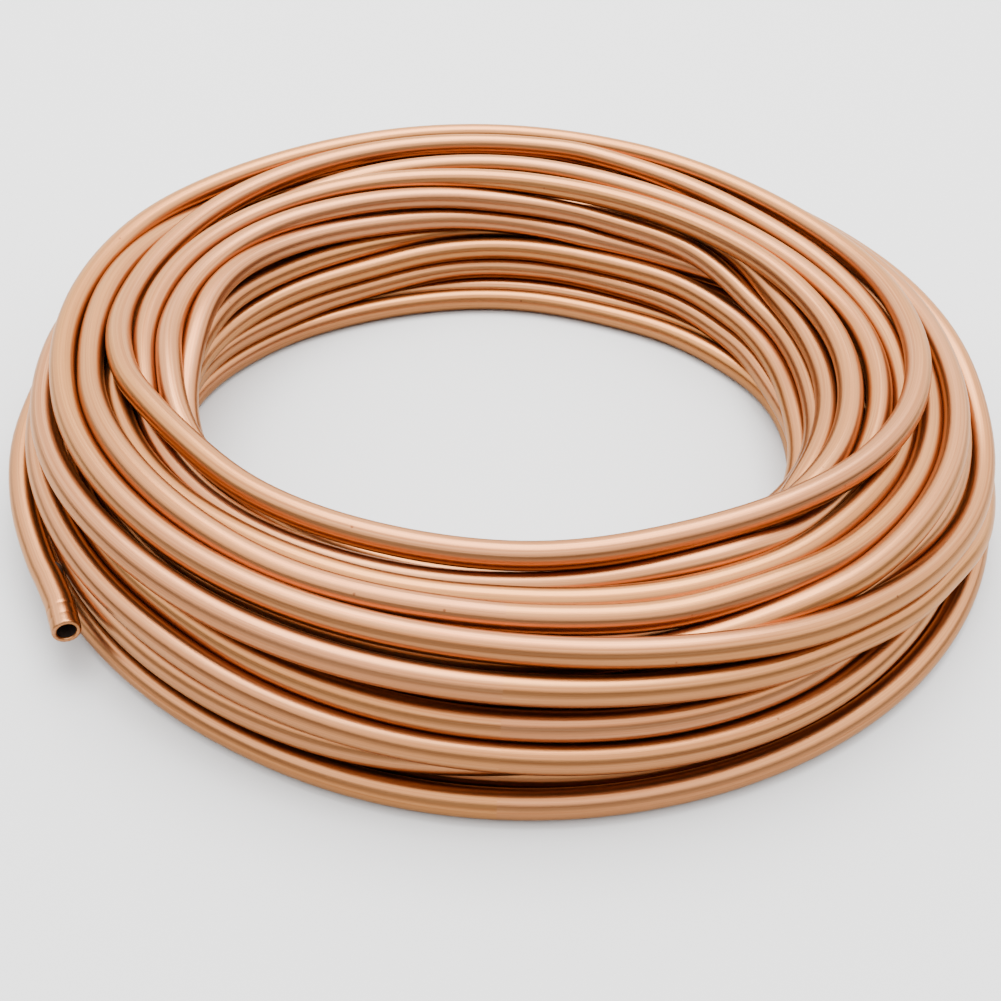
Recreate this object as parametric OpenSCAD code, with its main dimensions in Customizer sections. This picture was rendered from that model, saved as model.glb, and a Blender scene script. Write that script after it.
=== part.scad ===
// A coil of soft copper tube, wound in rows and lying flat, with one free end.
// Lengths are in millimetres. The coil's axis is Z and it lies on the floor at Z = 0.

/* [Tube] */
// Outside diameter of the tube
tube_od = 6.35; // [5:0.05:8]
// Wall thickness of the tube
wall = 0.8; // [0.6:0.05:1.2]
// Width of the mouth, which the tube cutter rolled inward
mouth_d = 4.1; // [2.5:0.1:4.5]

/* [Coil] */
// Outside diameter of the coil at the floor
coil_od = 248; // [230:1:400]
// Turns side by side in the bottom row
bottom_turns = 9; // [7:1:12]
// Rows of turns, one on another
rows = 6; // [3:1:7]
// How far each row stands back from the one below it, as a share of the distance between turns
setback = 0.3; // [0:0.05:0.45]
// Distance between turns as a share of the tube, under 1 because they press together
nest = 0.96; // [0.94:0.01:0.98]

/* [Free end] */
// Angle around the coil where the end starts out
end_angle = 198; // [0:1:359]
// Angle at which it leaves the turns
end_splay = 8; // [6:1:12]
// Radius of its curve, as a share of the turn that it leaves
end_opening = 1.5; // [1.4:0.05:2]
// Angle that its curve turns through
end_sweep = 15; // [14:1:20]
// Length of the straight stretch that the cut ends
end_straight = 9; // [8:0.5:14]
// Depth of the open bore behind the mouth
bore_depth = 8; // [6:0.5:8]

/* [Hidden] */
$fn = 96;
tube_r = tube_od / 2;
bore_r = tube_r - wall;
mouth_r = mouth_d / 2;
lip_r = (tube_r - mouth_r) / 2;
pitch = tube_od * nest;
lean = pitch * setback;
rise = sqrt(pitch * pitch - lean * lean);
top_row = rows - 1;
top_turns = round(bottom_turns - 2 * setback * top_row);
outer_r = coil_od / 2 - tube_r;
inner_r = outer_r - (bottom_turns - 1) * pitch;
// The height that the free end comes out at, counted in rows: between two of them
end_row = 1.5;
// How far under the outermost turn's middle the end starts
end_depth = tube_od * 0.3;
copper = [0.80, 0.56, 0.43];

function inner_at(row) = inner_r + row * lean;
function outer_at(row) = outer_r - row * lean;
function turn_z(row) = tube_r + row * rise;
function turn_r(row, k, turns) =
    inner_at(row) + (outer_at(row) - inner_at(row)) * k / (turns - 1);

// One turn cut through
module turn_section(r, z) {
    translate([r, z]) circle(r = tube_r);
}

// The turns of one row cut through
module row_section(row, turns) {
    for (k = [0 : turns - 1]) {
        turn_section(turn_r(row, k, turns), turn_z(row));
    }
}

// The bunch of turns cut through: solid inside, with each outer turn standing proud
module bunch_section() {
    polygon([
        [inner_at(0), turn_z(0)],
        [outer_at(0), turn_z(0)],
        [outer_at(top_row), turn_z(top_row)],
        [inner_at(top_row), turn_z(top_row)],
    ]);
    row_section(0, bottom_turns);
    row_section(top_row, top_turns);
    for (row = [1 : top_row - 1]) {
        turn_section(inner_at(row), turn_z(row));
        turn_section(outer_at(row), turn_z(row));
    }
}

// The last full turn, which lies over the top row and off centre: at the front it is the inmost
module last_turn() {
    gap = (outer_at(top_row) - inner_at(top_row)) / (top_turns - 1);
    near = inner_at(top_row) + gap / 2;
    far = outer_at(top_row);
    z = turn_z(top_row) + pitch * 0.75;
    foot = tube_r * 0.6;
    translate([0, (far - near) / 2, 0])
        rotate_extrude() {
            turn_section((far + near) / 2, z);
            translate([(far + near) / 2 - foot, turn_z(top_row) - foot])
                square([2 * foot, z - turn_z(top_row) + foot]);
        }
}

// Half of the straight end cut along its length, with the rolled lip and the bore
module end_section() {
    lip_z = end_straight - lip_r;
    polygon(concat(
        [[0, 0], [tube_r, 0]],
        [for (a = [0 : 20 : 180]) [tube_r - lip_r + lip_r * cos(a), lip_z + lip_r * sin(a)]],
        [[bore_r, lip_z - wall], [bore_r, end_straight - bore_depth]],
        [[0, end_straight - bore_depth]]
    ));
}

// The free end, which comes out between the turns, opens out and then runs straight to the cut
module free_end() {
    curve_r = outer_at(end_row) * end_opening;
    rotate([0, 0, end_angle])
        translate([outer_at(end_row) - end_depth, 0, turn_z(end_row)])
            rotate([0, 0, -end_splay])
                translate([-curve_r, 0, 0]) {
                    rotate_extrude(angle = end_sweep) translate([curve_r, 0]) circle(r = tube_r);
                    rotate([0, 0, end_sweep]) translate([curve_r, 0, 0])
                        rotate([-90, 0, 0]) rotate_extrude() end_section();
                }
}

module tube_coil() {
    color(copper) union() {
        rotate_extrude() bunch_section();
        last_turn();
        free_end();
    }
}

tube_coil();
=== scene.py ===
import math

import bpy
import numpy as np
from mathutils import Matrix, Vector


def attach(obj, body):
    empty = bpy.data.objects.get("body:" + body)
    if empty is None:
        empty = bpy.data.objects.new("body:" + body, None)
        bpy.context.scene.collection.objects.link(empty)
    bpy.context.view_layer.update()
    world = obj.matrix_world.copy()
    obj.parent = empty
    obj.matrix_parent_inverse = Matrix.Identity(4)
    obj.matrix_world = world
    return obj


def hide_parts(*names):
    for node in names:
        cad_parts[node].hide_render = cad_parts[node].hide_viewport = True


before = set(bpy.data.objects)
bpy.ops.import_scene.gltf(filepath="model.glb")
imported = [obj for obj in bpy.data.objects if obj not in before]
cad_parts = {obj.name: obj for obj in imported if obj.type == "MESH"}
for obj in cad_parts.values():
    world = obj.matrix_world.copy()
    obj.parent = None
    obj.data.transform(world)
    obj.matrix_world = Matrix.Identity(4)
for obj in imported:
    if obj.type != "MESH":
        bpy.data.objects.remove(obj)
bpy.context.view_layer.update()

# Routes are in tube diameters and degrees: -90 faces the viewer, 0 is right, 90 back and 180 left.
TUBE = 0.00635
MM = 0.001
FRONT = -90.0
STEP = 2.0
SAMPLES = int(360 / STEP)
ANGLES = FRONT + STEP * np.arange(SAMPLES)
# Flat sides round each tube
SIDES = 20
# Shortest step along a line that has a heading, and the cosine under which a line has doubled back
NO_STEP = 1e-12
DOUBLED_BACK = 0.5
# Height of a tube's middle on the floor, and how far out and how high it may lie in the part's box
ON_FLOOR = 0.5
REACH = 19.0
HEADROOM = 5.785

# The free end, as the part has it
END_ANGLE, END_SPLAY, END_SWEEP = 198.0, 8.0, 15.0
END_TURN, END_DEPTH, END_Z = 18.5956, 0.3, 1.8737
END_CURVE = END_TURN * 1.5
END_STRAIGHT = 9.0 / 6.35
END_STEPS = 6
# From this angle on, the last lap keeps to its route
END_HELD = 178
MOUTH, BORE = 4.1 / 6.35, 4.75 / 6.35
# Millimetres behind the mouth, and how far the cutter drew the tube in there
CUTTER_MARKS = [(9.0, 0.0), (7.4, 0.0), (6.6, 0.0), (6.45, 0.05), (6.25, 0.06), (6.05, 0.02), (5.0, 0.02),
                (3.4, 0.02), (3.25, 0.045), (3.1, 0.045), (2.95, 0.02), (2.0, 0.02), (1.1, 0.03)]
# The rolled lip in degrees, from the outside of the tube round to its bore
LIP_CURVE = range(0, 181, 15)
# Millimetres behind the lip, down the bore, and the size of the tip that closes it
BORE_DEPTHS = (0.8, 3.0, 8.0, 14.0, 20.0)
BORE_TIP = 0.0002


def on_floor(stations):
    """Stations of a turn that lies on the floor, from angle and radius."""
    return [(a, r, ON_FLOOR) for a, r in stations]


# The last turns to be wound, lap by lap: angle, radius, height of the tube's middle
TOP_INNER = [(-90, 14.3, 3.95), (-60, 13.85, 4.35), (-40, 13.45, 4.95), (-18, 13.2, 5.0), (4, 13.0, 5.05),
             (27, 12.65, 5.1), (48, 12.6, 5.05), (68, 12.7, 5.05), (96, 13.2, 5.1), (122, 14.1, 5.15),
             (158, 14.9, 5.1), (177, 14.7, 5.1), (196, 14.4, 4.9), (205, 14.5, 4.62), (215, 14.5, 4.5),
             (226, 14.35, 4.5), (247, 13.95, 4.6), (270, 13.5, 4.6)]
TOP_SECOND = [(-60, 13.85, 4.75), (-40, 14.3, 4.75), (-7, 14.4, 5.0), (4, 14.25, 5.05), (26, 13.75, 5.1),
              (47, 13.6, 5.1), (67, 13.85, 5.1), (95, 14.8, 5.1), (122, 15.2, 4.9), (140, 15.4, 4.5),
              (176, 15.3, 4.4), (196, 15.6, 4.75), (216, 15.35, 4.85), (247, 14.75, 4.95), (270, 14.5, 4.95)]
TOP_THIRD = [(-60, 15.0, 5.0), (-39, 15.1, 5.0), (4, 15.1, 4.95), (26, 15.0, 5.0), (47, 15.05, 5.05),
             (67, 15.8, 5.1), (85, 16.6, 5.15), (104, 16.9, 5.2), (122, 16.85, 5.2), (140, 16.6, 5.15),
             (158, 16.2, 5.1), (176, 15.75, 5.1), (196, 15.0, 5.3), (206, 14.3, 5.55), (216, 13.85, 5.6),
             (228, 13.65, 5.5), (240, 13.35, 5.5), (252, 13.1, 5.5), (270, 13.0, 5.5)]
CROSSING = [(-72, 13.1, 5.5), (-63, 13.25, 5.55), (-55, 13.4, 5.65), (-45, 13.85, 5.78), (-34, 14.47, 5.78),
            (-22, 15.1, 5.78), (-12, 15.4, 5.75), (0, 15.7, 5.7), (12, 15.95, 5.6), (23, 16.15, 5.45),
            (33, 16.2, 5.35), (43, 16.35, 5.3), (52, 16.55, 5.3), (60, 16.8, 5.3), (68, 17.02, 5.28),
            (79, 17.4, 5.25), (87, 17.7, 5.22), (96, 17.9, 5.2), (108, 18.0, 5.2), (122, 17.95, 5.2),
            (144, 18.0, 5.2), (156, 18.1, 5.2), (168, 17.95, 5.15), (180, 17.7, 5.1), (196, 17.3, 5.1),
            (216, 16.9, 5.15), (237, 16.75, 5.2), (270, 16.75, 5.2)]
LAST = [(-65, 17.45, 4.95), (-55, 17.75, 4.65), (-40, 18.0, 4.0), (-25, 18.35, 3.4), (-13, 18.5, 3.2),
        (-4, 18.4, 3.5), (6, 18.25, 4.0), (18, 18.1, 4.2), (30, 18.0, 4.25), (45, 18.05, 4.2), (60, 18.4, 4.0),
        (80, 18.8, 3.4), (100, 18.95, 2.8), (130, 18.95, 2.4), (155, 18.95, 2.3), (172, 18.98, 2.3),
        (184, 19.06, 2.25), (193, 19.3, 2.15), (204, 19.45, 2.0), (213, 19.55, 1.88)]
WINDING = [TOP_INNER, TOP_SECOND, TOP_THIRD, CROSSING, LAST]

# Innermost turns on the floor, round an eye that is wider than it is deep
FLOOR_INNER = on_floor([(-90, 12.9), (-48, 12.8), (-24, 12.3), (-12, 12.0), (0, 11.85), (12, 11.85), (24, 11.5),
                        (36, 11.0), (48, 10.65), (60, 10.2), (72, 10.05), (84, 10.1), (96, 10.2), (108, 10.35),
                        (120, 10.65), (132, 11.15), (144, 11.9), (156, 12.65), (168, 13.5), (180, 14.0),
                        (192, 13.7), (206, 13.3), (230, 13.0)])
FLOOR_SECOND = on_floor([(-90, 13.9), (-24, 13.3), (0, 12.9), (24, 12.5), (36, 12.0), (48, 11.65), (60, 11.25),
                         (72, 11.08), (84, 11.1), (96, 11.2), (108, 11.37), (120, 11.68), (132, 12.15),
                         (150, 13.3), (180, 15.0), (230, 14.0)])
# Inner wall, from the floor up
INNER_LOW = [(-90, 12.8, 1.4), (-48, 12.7, 1.4), (-24, 12.2, 1.4), (0, 11.7, 1.4), (9, 11.5, 1.4), (26, 11.5, 1.4),
             (36, 11.55, 1.4), (49, 11.6, 1.4), (64, 11.3, 1.35), (96, 11.55, 1.4), (120, 11.42, 1.4),
             (136, 11.7, 1.4), (152, 12.35, 1.4), (162, 13.1, 1.4), (180, 13.8, 1.4), (204, 13.3, 1.35),
             (240, 12.9, 1.4)]
INNER_MIDDLE = [(-90, 12.65, 2.35), (-70, 12.42, 2.3), (-48, 12.35, 2.32), (-24, 12.05, 2.35), (0, 11.5, 2.35),
                (15, 11.6, 2.33), (27, 11.67, 2.3), (38, 11.75, 2.3), (50, 11.7, 2.25), (65, 11.55, 2.2),
                (96, 11.65, 2.35), (120, 11.48, 2.35), (135, 11.75, 2.35), (151, 12.4, 2.35), (162, 12.9, 2.4),
                (180, 13.4, 2.4), (192, 13.4, 2.35), (204, 13.2, 2.25), (240, 12.8, 2.35)]
# Goes in under the others at the right, and is on top of the wall at the left
INNER_CLIMBING = [(-90, 13.55, 2.75), (-72, 13.3, 2.5), (-56, 13.3, 2.6), (-40, 13.4, 3.1), (0, 13.3, 3.3),
                  (25, 13.2, 3.25), (39, 13.1, 3.0), (52, 12.55, 2.87), (67, 12.2, 2.88), (96, 12.4, 3.48),
                  (123, 12.25, 4.05), (148, 12.7, 4.65), (161, 12.75, 5.0), (180, 12.8, 4.9), (192, 12.95, 4.4),
                  (204, 13.35, 3.75), (230, 13.6, 3.15)]
# Shows only at the left, between the two above
INNER_LEFT = [(-90, 13.8, 1.8), (-70, 13.9, 1.65), (-50, 13.75, 1.75), (-20, 13.2, 2.2), (30, 12.7, 2.1),
              (66, 12.7, 2.2), (96, 13.0, 2.5), (110, 12.6, 2.75), (123, 12.2, 3.05), (133, 12.25, 3.2),
              (149, 12.65, 3.4), (161, 12.95, 3.65), (180, 13.05, 3.5), (192, 13.35, 3.3), (204, 13.35, 2.9),
              (230, 13.5, 2.3)]
# Sinks from the top at the left to the middle of the wall at the right
INNER_SINKING = [(-90, 12.75, 4.05), (-60, 12.45, 3.75), (-40, 12.4, 3.55), (-20, 12.25, 3.3), (0, 12.0, 3.1),
                 (12, 12.05, 3.12), (28, 12.25, 3.2), (38, 12.35, 3.5), (48, 12.4, 3.82), (67, 12.38, 3.85),
                 (96, 12.6, 4.42), (123, 12.8, 4.95), (158, 13.75, 5.1), (177, 13.75, 5.1), (192, 13.6, 5.1),
                 (204, 13.6, 4.75), (214, 13.4, 4.3), (230, 13.05, 4.1)]
# Comes out at the right, between the sinking turn and the top inner one
INNER_RIGHT = [(-90, 14.6, 2.7), (-60, 13.3, 3.5), (-40, 12.8, 4.25), (-24, 12.5, 4.3), (0, 12.4, 4.12),
               (14, 12.35, 4.1), (28, 12.45, 4.17), (38, 12.95, 4.3), (48, 13.3, 4.1), (60, 13.5, 3.9),
               (96, 13.5, 3.7), (130, 13.6, 3.9), (180, 14.0, 4.05), (215, 14.3, 3.6), (240, 14.5, 3.0)]
# On top at the front and left, and dips under the crossing turn at the back
TOP_DIPPING = [(-90, 15.5, 5.2), (-60, 16.0, 5.1), (-39, 16.05, 5.0), (-17, 15.95, 4.85), (4, 16.2, 4.7),
               (30, 16.4, 4.25), (60, 16.3, 3.7), (75, 16.75, 3.55), (90, 17.2, 3.9), (120, 17.6, 4.15),
               (140, 17.5, 4.4), (158, 17.1, 4.95), (176, 16.75, 5.1), (196, 16.25, 5.1), (216, 15.85, 5.15),
               (237, 15.55, 5.2)]
# Beside the last turn at the front, and comes down the outside on the right
OUTER_FALLING = [(-90, 17.65, 4.4), (-65, 17.85, 3.95), (-48, 17.95, 3.35), (-31, 18.25, 2.5), (-20, 18.65, 1.95),
                 (-8, 18.85, 1.7), (10, 18.9, 1.6), (60, 18.85, 1.5), (85, 18.4, 1.6), (105, 17.95, 2.25),
                 (130, 18.05, 3.0), (150, 18.1, 3.45), (170, 18.35, 3.8), (198, 18.2, 4.15), (220, 17.9, 4.65),
                 (239, 17.75, 4.6)]
# Outer wall at the front and left, from the top down
OUTER_HIGH = [(-90, 17.95, 3.1), (-60, 18.0, 2.8), (-30, 17.4, 2.9), (0, 17.2, 2.85), (30, 17.3, 2.6),
              (60, 17.5, 2.85), (90, 17.4, 3.15), (130, 17.0, 3.15), (180, 17.35, 3.3), (215, 17.55, 3.45),
              (250, 17.8, 3.2)]
OUTER_MIDDLE = [(-90, 18.5, 2.2), (-60, 18.5, 1.85), (-40, 18.1, 1.8), (0, 17.85, 1.9), (30, 17.85, 1.75),
                (60, 17.6, 1.85), (85, 17.45, 2.1), (105, 17.0, 2.25), (130, 17.3, 2.2), (150, 18.0, 2.45),
                (165, 18.25, 2.8), (180, 18.45, 3.1), (200, 18.6, 3.15), (220, 18.5, 3.1), (238, 18.4, 3.05),
                (258, 18.5, 2.45)]
OUTER_LOW = [(-90, 18.0, 1.35), (-60, 18.0, 1.1), (0, 17.4, 1.2), (60, 17.0, 1.3), (90, 16.7, 1.35),
             (130, 16.8, 1.4), (170, 17.6, 1.65), (190, 18.1, 2.1), (205, 18.4, 2.0), (227, 18.6, 1.8),
             (258, 18.45, 1.6)]
# Top outer turns on the right
RIGHT_TOP = [(-90, 16.5, 4.3), (-70, 16.75, 4.6), (-52, 17.0, 5.0), (-30, 16.9, 5.05), (-12, 16.85, 4.9),
             (10, 17.1, 4.8), (30, 17.25, 4.72), (44, 17.3, 4.55), (52, 17.25, 4.42), (60, 17.15, 4.3),
             (70, 16.9, 4.2), (84, 16.5, 4.15), (100, 16.3, 4.1), (180, 16.8, 4.2)]
RIGHT_UNDER = [(-90, 17.0, 3.5), (-70, 17.1, 3.7), (-47, 17.3, 4.05), (-30, 17.4, 4.1), (-14, 17.4, 4.0),
               (30, 17.4, 3.6), (60, 16.2, 3.0), (76, 15.75, 2.9), (90, 15.7, 3.0), (130, 15.95, 3.15),
               (180, 16.4, 3.35), (215, 16.6, 3.5), (250, 16.9, 3.45)]
# Outermost turns on the floor
FLOOR_BACK = on_floor([(-90, 17.9), (0, 17.95), (90, 17.75), (180, 17.7), (230, 17.75)])
FLOOR_OUTER = on_floor([(-90, 19.0), (-60, 18.9), (-45, 18.85), (-30, 18.95), (-12, 19.0), (30, 18.9), (90, 18.8),
                        (150, 18.7), (190, 18.8), (210, 18.95), (225, 18.85), (240, 18.8), (255, 18.95)])
# Each of these closes on itself
RINGS = [FLOOR_INNER, FLOOR_SECOND, INNER_LOW, INNER_MIDDLE, INNER_CLIMBING, INNER_LEFT, INNER_SINKING, INNER_RIGHT,
         TOP_DIPPING, OUTER_FALLING, OUTER_HIGH, OUTER_MIDDLE, OUTER_LOW, RIGHT_TOP, RIGHT_UNDER, FLOOR_BACK,
         FLOOR_OUTER]

# Hidden turns: each row's height, its turns, and how far it stays back from the inner wall
ROWS = [(0.5, 2, 1.0), (1.4, 3, 0.0), (2.3, 4, 0.4), (3.2, 2, 0.9), (4.1, 1, 1.2)]
# Where the outer wall is, how far inside it and the inner wall they stay, and how much more with each row
OUTER_WALL, OUTER_GAP, INNER_GAP, ROW_LEAN = 18.4, 1.5, 1.0, 0.3
# The angle from which a hidden turn moves over to the next one's place, and the angle that this takes
SHIFT_FROM, SHIFT_OVER = 215, 50

# Settling: its rounds, and the round after which it only eases the last overlaps
ROUNDS, LATE = 360, 300
# How far a turn gives way when it is pressed, how strongly it is drawn to its place, and how much less when late
GIVE_LAST, GIVE_SHOWN, GIVE_HIDDEN = 0.08, 0.3, 1.0
PULL_SHOWN, PULL_HIDDEN, PULL_LATE = 0.12, 0.02, 0.3
# The share of an overlap that one round takes out, and the share of a bend that one smoothing takes out
PUSH, EASE = 0.45, 0.4

# Metres along the draw lines at which the side turns and the hidden turns start
SIDE_START, HIDDEN_START = 3.0, 30.0

# Copper's colour against the draw lines, bright and deeper, and the colours that darken it
COPPER_DRAWN = [(0.3, (0.30, 0.118, 0.047)), (0.5, (0.36, 0.154, 0.068)), (0.72, (0.42, 0.192, 0.092))]
COPPER_DEEPER = [(0.3, (0.30, 0.118, 0.038)), (0.7, (0.40, 0.178, 0.055))]
COPPER_EDGE = (1.0, 0.86, 0.70, 1)
FINE_LINES = (0.82, 0.74, 0.68)
SPECK = (0.16, 0.05, 0.02)
SMOOTHEST, ROUGHEST = 0.24, 0.38
# Painted shade: the bore's near-black colours stand in for the shade inside the tube
BORE_PAINTED_SHADE = [(0.3, (0.012, 0.007, 0.005)), (0.7, (0.04, 0.018, 0.01))]
FLOOR_GREY = (0.52, 0.52, 0.52, 1)
FLOOR_HALF = 3.0

# The camera: its place in tube diameters, how far it looks down, its roll, and its lens in pixels of the frame
CAMERA_PLACE = (-0.33, -44.46, 35.03)
CAMERA_DOWN, CAMERA_ROLL = 40.85, 2.68
LENS_PIXELS, FRAME_PIXELS, SENSOR = 1339.8, 1001, 36.0

# The studio: how far its ceiling leans back, its brightness from the horizon up, and the lamp over the coil
SKY_LEAN = 25
SKY = [(0.0, 0.28), (0.06, 0.24), (0.13, 0.03), (0.26, 0.04), (0.38, 1.0), (1.0, 1.0)]
SKY_STRENGTH = 4.2
LAMP_PLACE, LAMP_SIZE, LAMP_POWER = (0.0, 0.3, 0.9), (0.9, 0.7), 24


def smooth_curve(stations, angles, closed):
    """Radius and height at each angle, on a smooth curve through the stations."""
    a = np.array(stations, float)
    if closed:
        before, after = a[-3:].copy(), a[:3].copy()
        before[:, 0] -= 360
        after[:, 0] += 360
        a = np.vstack([before, a, after])
    x, y = a[:, 0], a[:, 1:]
    slope = np.gradient(y, x, axis=0)
    i = np.clip(np.searchsorted(x, angles, side="right") - 1, 0, len(x) - 2)
    h = (x[i + 1] - x[i])[:, None]
    t = np.clip((angles - x[i])[:, None] / h, 0, 1)
    return ((1 + 2 * t) * (1 - t) ** 2 * y[i] + t * (1 - t) ** 2 * h * slope[i]
            + t * t * (3 - 2 * t) * y[i + 1] + t * t * (t - 1) * h * slope[i + 1])


def end_straight():
    """The straight end's middle line, from the end of its curve to the cut, in tube diameters."""
    start = Matrix.Rotation(math.radians(END_ANGLE), 3, "Z")
    splay = Matrix.Rotation(math.radians(-END_SPLAY), 3, "Z")
    a = math.radians(END_SWEEP)
    first = Vector((END_CURVE * (math.cos(a) - 1), END_CURVE * math.sin(a), 0))
    ahead = Vector((-math.sin(a), math.cos(a), 0))
    base = Vector((END_TURN - END_DEPTH, 0, END_Z))
    points = [first + ahead * END_STRAIGHT * k / END_STEPS for k in range(END_STEPS + 1)]
    return [start @ (base + splay @ p) for p in points]


def as_station(p):
    """Angle, radius and height of a point."""
    return math.degrees(math.atan2(p.y, p.x)) % 360, math.hypot(p.x, p.y), p.z


def winding_targets():
    """The last laps, one after another, ending at the cut."""
    stations = []
    for lap, part in enumerate(WINDING):
        stations += [(a + 360 * lap, r, z) for a, r, z in part]
    last = 360 * (len(WINDING) - 1)
    stations += [(a + last, r, z) for a, r, z in map(as_station, end_straight())]
    angles = FRONT + STEP * np.arange(SAMPLES * len(WINDING))
    return smooth_curve(stations, angles, False).reshape(len(WINDING), SAMPLES, 2)


def hidden_targets():
    """Hidden laps, row by row and back and forth, each moving over to the next one's place at the front."""
    wall = smooth_curve(FLOOR_INNER, ANGLES, True)[:, 0]
    sites = []
    for row, (z, turns, inset) in enumerate(ROWS):
        low, high = wall + INNER_GAP + inset, OUTER_WALL - OUTER_GAP - ROW_LEAN * row
        line = [(low + (high - low) * (k + 1) / turns, z) for k in range(turns)]
        sites += line if row % 2 == 0 else line[::-1]
    t = np.clip((ANGLES - SHIFT_FROM) / SHIFT_OVER, 0, 1)
    t = t * t * (3 - 2 * t)
    laps = np.zeros((len(sites), SAMPLES, 2))
    for k, (r, z) in enumerate(sites):
        next_r, next_z = sites[min(k + 1, len(sites) - 1)]
        laps[k, :, 0] = r + (next_r - r) * t
        laps[k, :, 1] = z + (next_z - z) * t
    return laps


def settle(target, follows, give, pull, there, fixed):
    """Pushes turns apart until they lie on each other, keeping each near its place and each tube smooth."""
    x = target.copy()
    count = len(x)
    first, second = np.triu_indices(count, 1)
    share = (give[first] / (give[first] + give[second]))[:, None, None]
    leads = np.array([follows.index(k) if k in follows else -1 for k in range(count)])
    ahead = np.array([f if f >= 0 else k for k, f in enumerate(follows)])
    for turn in range(ROUNDS):
        late = turn > LATE
        x += (target - x) * (pull * PULL_LATE if late else pull)
        gap = x[first] - x[second]
        dist = np.maximum(np.linalg.norm(gap, axis=2), 1e-4)
        over = np.clip(1.0 - dist, 0, None) * (there[first] & there[second])
        push = gap / dist[:, :, None] * over[:, :, None]
        move = np.zeros_like(x)
        np.add.at(move, first, push * share)
        np.add.at(move, second, -push * (1 - share))
        x += move * PUSH
        x[:, :, 1] = np.clip(x[:, :, 1], ON_FLOOR, HEADROOM)
        x[:, :, 0] = np.minimum(x[:, :, 0], REACH)
        for _ in range(1 if late else 2):
            before = np.where((leads >= 0)[:, None], x[leads, -1], x[:, 0])[:, None]
            before = np.concatenate([before, x[:, :-1]], 1)
            after = np.concatenate([x[:, 1:], x[ahead, 0][:, None]], 1)
            x += ((before + after) / 2 - x) * EASE
        x[fixed] = target[fixed]
    return x


def wind():
    """All the turns, settled: the last laps, the closed side turns and the hidden laps."""
    winding = winding_targets()
    rings = np.array([smooth_curve(s, ANGLES, True) for s in RINGS])
    hidden = hidden_targets()
    w, r, h = len(winding), len(rings), len(hidden)
    follows = list(range(1, w)) + [-1] + list(range(w, w + r)) + list(range(w + r + 1, w + r + h)) + [-1]
    give = np.array([GIVE_LAST] * w + [GIVE_SHOWN] * r + [GIVE_HIDDEN] * h)
    pull = np.array([PULL_SHOWN] * (w + r) + [PULL_HIDDEN] * h)[:, None, None]
    there = np.ones((w + r + h, SAMPLES), bool)
    there[w - 1, ANGLES > as_station(end_straight()[-1])[0]] = False
    fixed = np.zeros_like(there)
    fixed[w - 1, ANGLES > END_HELD] = True
    laps = settle(np.concatenate([winding, rings, hidden]), follows, give, pull, there, fixed)
    return laps[:w], laps[w:w + r], laps[w + r:]


def in_space(lap, angles):
    """Points in metres from radii and heights at the angles."""
    a = np.radians(angles)
    return np.c_[lap[:, 0] * np.cos(a), lap[:, 0] * np.sin(a), lap[:, 1]] * TUBE


def sweep_rings(points, closed, radius):
    """Rings of points round a middle line."""
    p = np.asarray(points)
    if closed:
        tangent = np.roll(p, -1, 0) - np.roll(p, 1, 0)
    else:
        tangent = np.gradient(p, axis=0)
    tangent /= np.maximum(np.linalg.norm(tangent, axis=1), NO_STEP)[:, None]
    # Where the line doubles back, as it does over the rolled lip, its rings keep facing the same way
    for k in range(1, len(p)):
        if tangent[k] @ tangent[k - 1] < DOUBLED_BACK:
            tangent[k] = tangent[k - 1]
    out = np.c_[p[:, :2], np.zeros(len(p))]
    out -= tangent * np.sum(out * tangent, 1)[:, None]
    out /= np.linalg.norm(out, axis=1)[:, None]
    up = np.cross(tangent, out)
    a = 2 * math.pi * np.arange(SIDES) / SIDES
    radius = np.broadcast_to(np.asarray(radius, float), len(p))
    ring = out[:, None] * np.cos(a)[None, :, None] + up[:, None] * np.sin(a)[None, :, None]
    return p[:, None] + ring * radius[:, None, None]


def tube_mesh(name, strands):
    """One mesh of several tubes. A strand is (points in metres, radii, closed, how far along it starts)."""
    verts, faces, uvs = [], [], []
    base = 0
    for points, radii, closed, start in strands:
        rings = sweep_rings(points, closed, radii)
        n = len(rings)
        step = np.linalg.norm(np.diff(np.vstack([points, points[:1]]), axis=0), axis=1)
        along = start + np.concatenate([[0], np.cumsum(step)])
        verts.append(rings.reshape(-1, 3))
        spans = n if closed else n - 1
        i = np.arange(spans)[:, None]
        k = np.arange(SIDES)[None, :]
        this, after = base + i * SIDES, base + (i + 1) % n * SIDES
        side = (k + 1) % SIDES
        quad = np.stack([this + k, after + k, after + side, this + side], 2)
        faces.append(quad.reshape(-1, 4)[:, ::-1])
        ones = np.ones((spans, SIDES))
        u0, u1 = along[:spans, None] * ones, along[1:spans + 1, None] * ones
        v0, v1 = k / SIDES * ones, (k + 1) / SIDES * ones
        corners = [np.stack(corner, 2) for corner in ((u0, v0), (u1, v0), (u1, v1), (u0, v1))]
        uvs.append(np.stack(corners, 2).reshape(-1, 4, 2)[:, ::-1])
        base += n * SIDES
    verts, faces, uvs = np.vstack(verts), np.vstack(faces), np.vstack(uvs)
    mesh = bpy.data.meshes.new(name)
    mesh.from_pydata(verts.tolist(), [], faces.tolist())
    layer = mesh.uv_layers.new(name="along_and_round")
    layer.data.foreach_set("uv", uvs.astype(np.float32).ravel())
    mesh.polygons.foreach_set("use_smooth", np.ones(len(faces), bool))
    mesh.update()
    piece = bpy.data.objects.new(name, mesh)
    bpy.context.scene.collection.objects.link(piece)
    return piece


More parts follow.
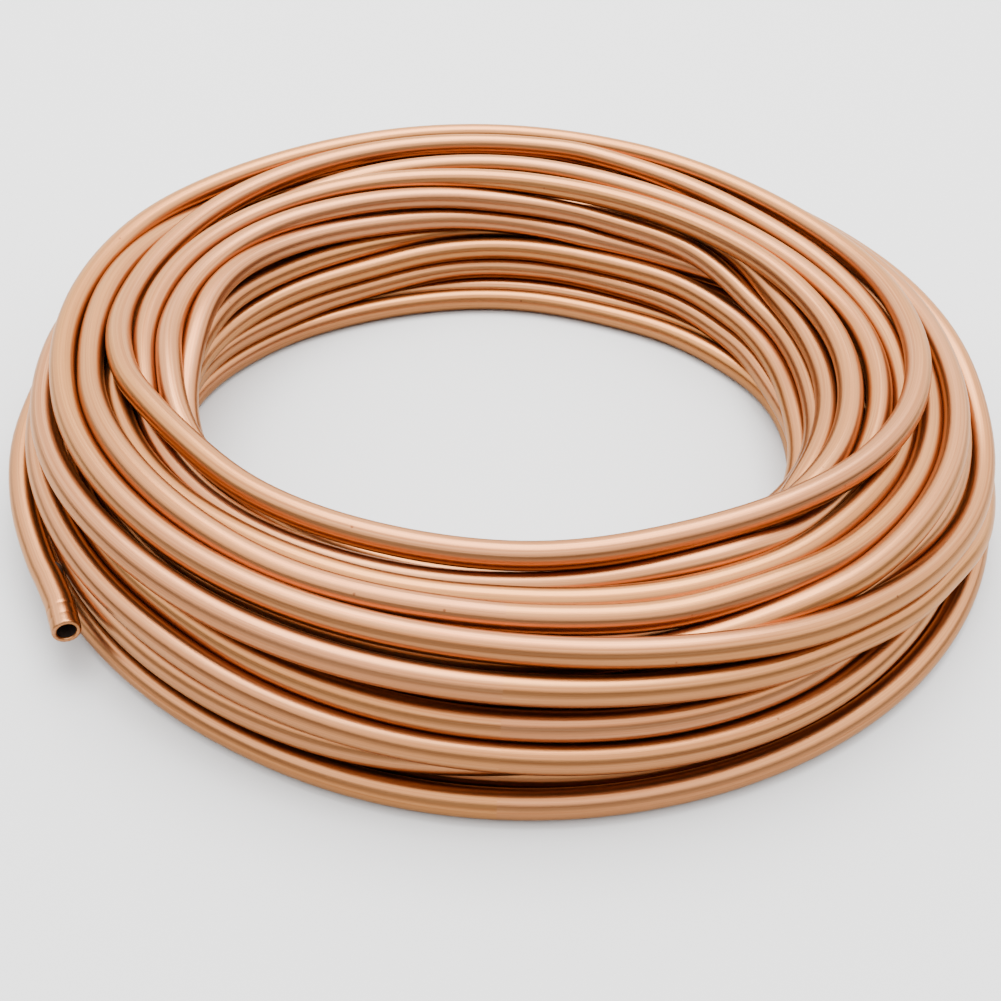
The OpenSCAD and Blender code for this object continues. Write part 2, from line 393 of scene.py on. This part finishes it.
def end_profile():
    """Points and radii of the straight end, with its cutter marks and rolled lip, and of the bore behind it."""
    half, lip = TUBE / 2, (1 - MOUTH) / 4 * TUBE
    line = [np.array(p) * TUBE for p in end_straight()]
    mouth = line[-1]
    ahead = (line[-1] - line[0]) / np.linalg.norm(line[-1] - line[0])
    lip_centre = mouth - ahead * lip
    points = [mouth - ahead * back * MM for back, _ in CUTTER_MARKS]
    radii = [half - drawn * MM for _, drawn in CUTTER_MARKS]
    edge = radii[-1]
    for a in LIP_CURVE:
        points.append(lip_centre + ahead * lip * math.sin(math.radians(a)))
        radii.append(edge - lip + lip * math.cos(math.radians(a)))
    bore_points, bore_radii = [points[-1]], [radii[-1]]
    for back in BORE_DEPTHS:
        bore_points.append(lip_centre - ahead * back * MM)
        bore_radii.append(BORE / 2 * TUBE)
    bore_points.append(bore_points[-1] - ahead * BORE_TIP)
    bore_radii.append(BORE_TIP)
    return points, radii, bore_points, bore_radii


def make_coil(copper, dark):
    """The tube in four pieces: the last laps with the cut end, its bore, the side turns and the hidden laps."""
    last_laps, side_laps, hidden_laps = wind()
    half = TUBE / 2
    points, radii, bore_points, bore_radii = end_profile()
    count = len(last_laps)
    line = in_space(last_laps.reshape(-1, 2), np.tile(ANGLES, count))
    first = as_station(Vector(points[0] / TUBE))[0]
    keep = (count - 1) * SAMPLES + int((first - FRONT) / STEP)
    line = np.vstack([line[:keep], points])
    radii = np.concatenate([np.full(keep, half), radii])
    winding = tube_mesh("winding_last_turns", [(line, radii, False, 0.0)])
    # The bore's dark material is painted shade inside the tube
    bore = tube_mesh("tube_bore", [(np.array(bore_points), np.array(bore_radii), False, 0.0)])
    bore.data.flip_normals()
    side = tube_mesh("winding_side_turns",
                     [(in_space(lap, ANGLES), half, True, SIDE_START + k) for k, lap in enumerate(side_laps)])
    hidden_line = in_space(hidden_laps.reshape(-1, 2), np.tile(ANGLES, len(hidden_laps)))
    hidden = tube_mesh("winding_inner_turns", [(hidden_line, half, False, HIDDEN_START)])
    for piece, material in ((winding, copper), (bore, dark), (side, copper), (hidden, copper)):
        piece.data.materials.append(material)
        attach(piece, "root")
    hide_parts("tube_coil")


def set_stops(ramp, stops):
    """Gives a colour ramp its places and colours."""
    elements = ramp.color_ramp.elements
    while len(elements) < len(stops):
        elements.new(0.5)
    for element, (place, colour) in zip(elements, stops):
        element.position = place
        element.color = (*colour, 1)


def grey(level):
    return (level, level, level)


class Nodes:
    """Short ways to add and link shader nodes."""

    def __init__(self, name):
        self.material = bpy.data.materials.new(name)
        self.material.use_nodes = True
        self.tree = self.material.node_tree
        self.shader = self.tree.nodes["Principled BSDF"]

    def add(self, kind, **values):
        node = self.tree.nodes.new(kind)
        for key, value in values.items():
            if key in node.inputs:
                node.inputs[key].default_value = value
            else:
                setattr(node, key, value)
        return node

    def link(self, a, b):
        self.tree.links.new(a, b)

    def math(self, operation, a, b=None):
        node = self.add("ShaderNodeMath", operation=operation)
        for socket, value in zip(node.inputs, (a, b)):
            if isinstance(value, (int, float)):
                socket.default_value = value
            elif value is not None:
                self.link(value, socket)
        return node.outputs[0]

    def ramp(self, fac, stops):
        node = self.add("ShaderNodeValToRGB")
        set_stops(node, stops)
        self.link(fac, node.inputs["Fac"])
        return node.outputs["Color"]

    def mix(self, fac, a, b, blend="MIX"):
        node = self.add("ShaderNodeMixRGB", blend_type=blend)
        for socket, value in zip(node.inputs, (fac, a, b)):
            if isinstance(value, (int, float)):
                socket.default_value = value
            elif isinstance(value, tuple):
                socket.default_value = (*value, 1)
            else:
                self.link(value, socket)
        return node.outputs[0]

    def round_the_tube(self, along, across):
        """A place on the tube's skin, scaled along it and across it, with no seam."""
        uv = self.add("ShaderNodeUVMap", uv_map="along_and_round")
        parts = self.add("ShaderNodeSeparateXYZ")
        self.link(uv.outputs[0], parts.inputs[0])
        turn = self.math("MULTIPLY", parts.outputs[1], 2 * math.pi)
        place = self.add("ShaderNodeCombineXYZ")
        self.link(self.math("MULTIPLY", parts.outputs[0], along), place.inputs[0])
        self.link(self.math("MULTIPLY", self.math("COSINE", turn), across), place.inputs[1])
        self.link(self.math("MULTIPLY", self.math("SINE", turn), across), place.inputs[2])
        return place.outputs[0]

    def noise(self, place, detail, roughness=0.55):
        node = self.add("ShaderNodeTexNoise", Scale=1.0, Detail=detail, Roughness=roughness)
        self.link(place, node.inputs["Vector"])
        return node.outputs["Fac"]


def copper_material():
    """Soft drawn copper: fine lengthwise draw lines, patches of deeper colour, and a few dark specks."""
    n = Nodes("soft_copper")
    n.shader.inputs["Metallic"].default_value = 1.0
    n.shader.inputs["Specular Tint"].default_value = COPPER_EDGE
    streak = n.noise(n.round_the_tube(along=9.0, across=7.0), detail=5.0)
    fine = n.noise(n.round_the_tube(along=30.0, across=26.0), detail=3.0)
    patch = n.noise(n.round_the_tube(along=5.0, across=0.5), detail=2.0)
    drawn, deeper = n.ramp(streak, COPPER_DRAWN), n.ramp(streak, COPPER_DEEPER)
    colour = n.mix(n.ramp(patch, [(0.35, grey(0)), (0.7, grey(0.85))]), drawn, deeper)
    colour = n.mix(n.ramp(fine, [(0.32, grey(0.8)), (0.55, grey(0))]), colour, FINE_LINES, "MULTIPLY")
    specks = n.add("ShaderNodeTexVoronoi", Scale=1.0)
    n.link(n.round_the_tube(along=90.0, across=0.28), specks.inputs["Vector"])
    dark = n.ramp(specks.outputs["Distance"], [(0.02, grey(0.8)), (0.035, grey(0))])
    n.link(n.mix(dark, colour, SPECK), n.shader.inputs["Base Color"])
    rough = n.add("ShaderNodeMapRange")
    rough.inputs["To Min"].default_value = SMOOTHEST
    rough.inputs["To Max"].default_value = ROUGHEST
    n.link(streak, rough.inputs["Value"])
    n.link(rough.outputs[0], n.shader.inputs["Roughness"])
    bump = n.add("ShaderNodeBump", Strength=0.25, Distance=0.00006)
    n.link(n.mix(0.5, streak, fine), bump.inputs["Height"])
    n.link(bump.outputs[0], n.shader.inputs["Normal"])
    return n.material


def bore_material():
    """The tube's dull inside, painted near-black: painted shade deep in the bore."""
    n = Nodes("bore_painted_shade")
    grain = n.noise(n.round_the_tube(along=300.0, across=4.0), detail=3.0)
    n.link(n.ramp(grain, BORE_PAINTED_SHADE), n.shader.inputs["Base Color"])
    n.shader.inputs["Roughness"].default_value = 0.7
    return n.material


def make_camera():
    """The photo's view, with a plain camera."""
    cam = bpy.data.cameras.new("camera")
    cam.sensor_width = SENSOR
    cam.lens = LENS_PIXELS / FRAME_PIXELS * SENSOR
    cam.clip_start, cam.clip_end = 0.01, 20
    ob = bpy.data.objects.new("camera", cam)
    bpy.context.scene.collection.objects.link(ob)
    down = Matrix.Rotation(math.radians(90 - CAMERA_DOWN), 4, "X")
    roll = Matrix.Rotation(math.radians(CAMERA_ROLL), 4, "Z")
    ob.matrix_world = Matrix.Translation(Vector(CAMERA_PLACE) * TUBE) @ down @ roll
    bpy.context.scene.camera = ob


def make_floor():
    """A plain pale floor."""
    mesh = bpy.data.meshes.new("floor")
    corners = [(-FLOOR_HALF, -FLOOR_HALF, 0), (FLOOR_HALF, -FLOOR_HALF, 0),
               (FLOOR_HALF, FLOOR_HALF, 0), (-FLOOR_HALF, FLOOR_HALF, 0)]
    mesh.from_pydata(corners, [], [(0, 1, 2, 3)])
    floor = bpy.data.objects.new("floor", mesh)
    bpy.context.scene.collection.objects.link(floor)
    n = Nodes("pale_floor")
    n.shader.inputs["Base Color"].default_value = FLOOR_GREY
    n.shader.inputs["Roughness"].default_value = 0.9
    floor.data.materials.append(n.material)


def make_sky():
    """A pale studio: a bright ceiling that leans back, a dark edge to it, and a dimmer wall below."""
    world = bpy.data.worlds.new("studio")
    bpy.context.scene.world = world
    world.use_nodes = True
    tree = world.node_tree
    place = tree.nodes.new("ShaderNodeTexCoord")
    lean = tree.nodes.new("ShaderNodeVectorMath")
    lean.operation = "DOT_PRODUCT"
    tilt = math.radians(SKY_LEAN)
    lean.inputs[1].default_value = (0, math.sin(tilt), math.cos(tilt))
    ramp = tree.nodes.new("ShaderNodeValToRGB")
    set_stops(ramp, [(height, grey(level)) for height, level in SKY])
    tree.links.new(place.outputs["Generated"], lean.inputs[0])
    tree.links.new(lean.outputs["Value"], ramp.inputs["Fac"])
    background = tree.nodes["Background"]
    tree.links.new(ramp.outputs["Color"], background.inputs["Color"])
    background.inputs["Strength"].default_value = SKY_STRENGTH


def make_lamp():
    """A wide soft lamp over the coil, aimed at its middle."""
    light = bpy.data.lights.new("overhead", "AREA")
    light.shape = "RECTANGLE"
    light.size, light.size_y = LAMP_SIZE
    light.energy = LAMP_POWER
    ob = bpy.data.objects.new("overhead", light)
    bpy.context.scene.collection.objects.link(ob)
    ob.location = LAMP_PLACE
    ob.rotation_mode = "QUATERNION"
    ob.rotation_quaternion = (-Vector(LAMP_PLACE)).to_track_quat("-Z", "Y")


make_camera()
make_coil(copper_material(), bore_material())
make_floor()
make_sky()
make_lamp()
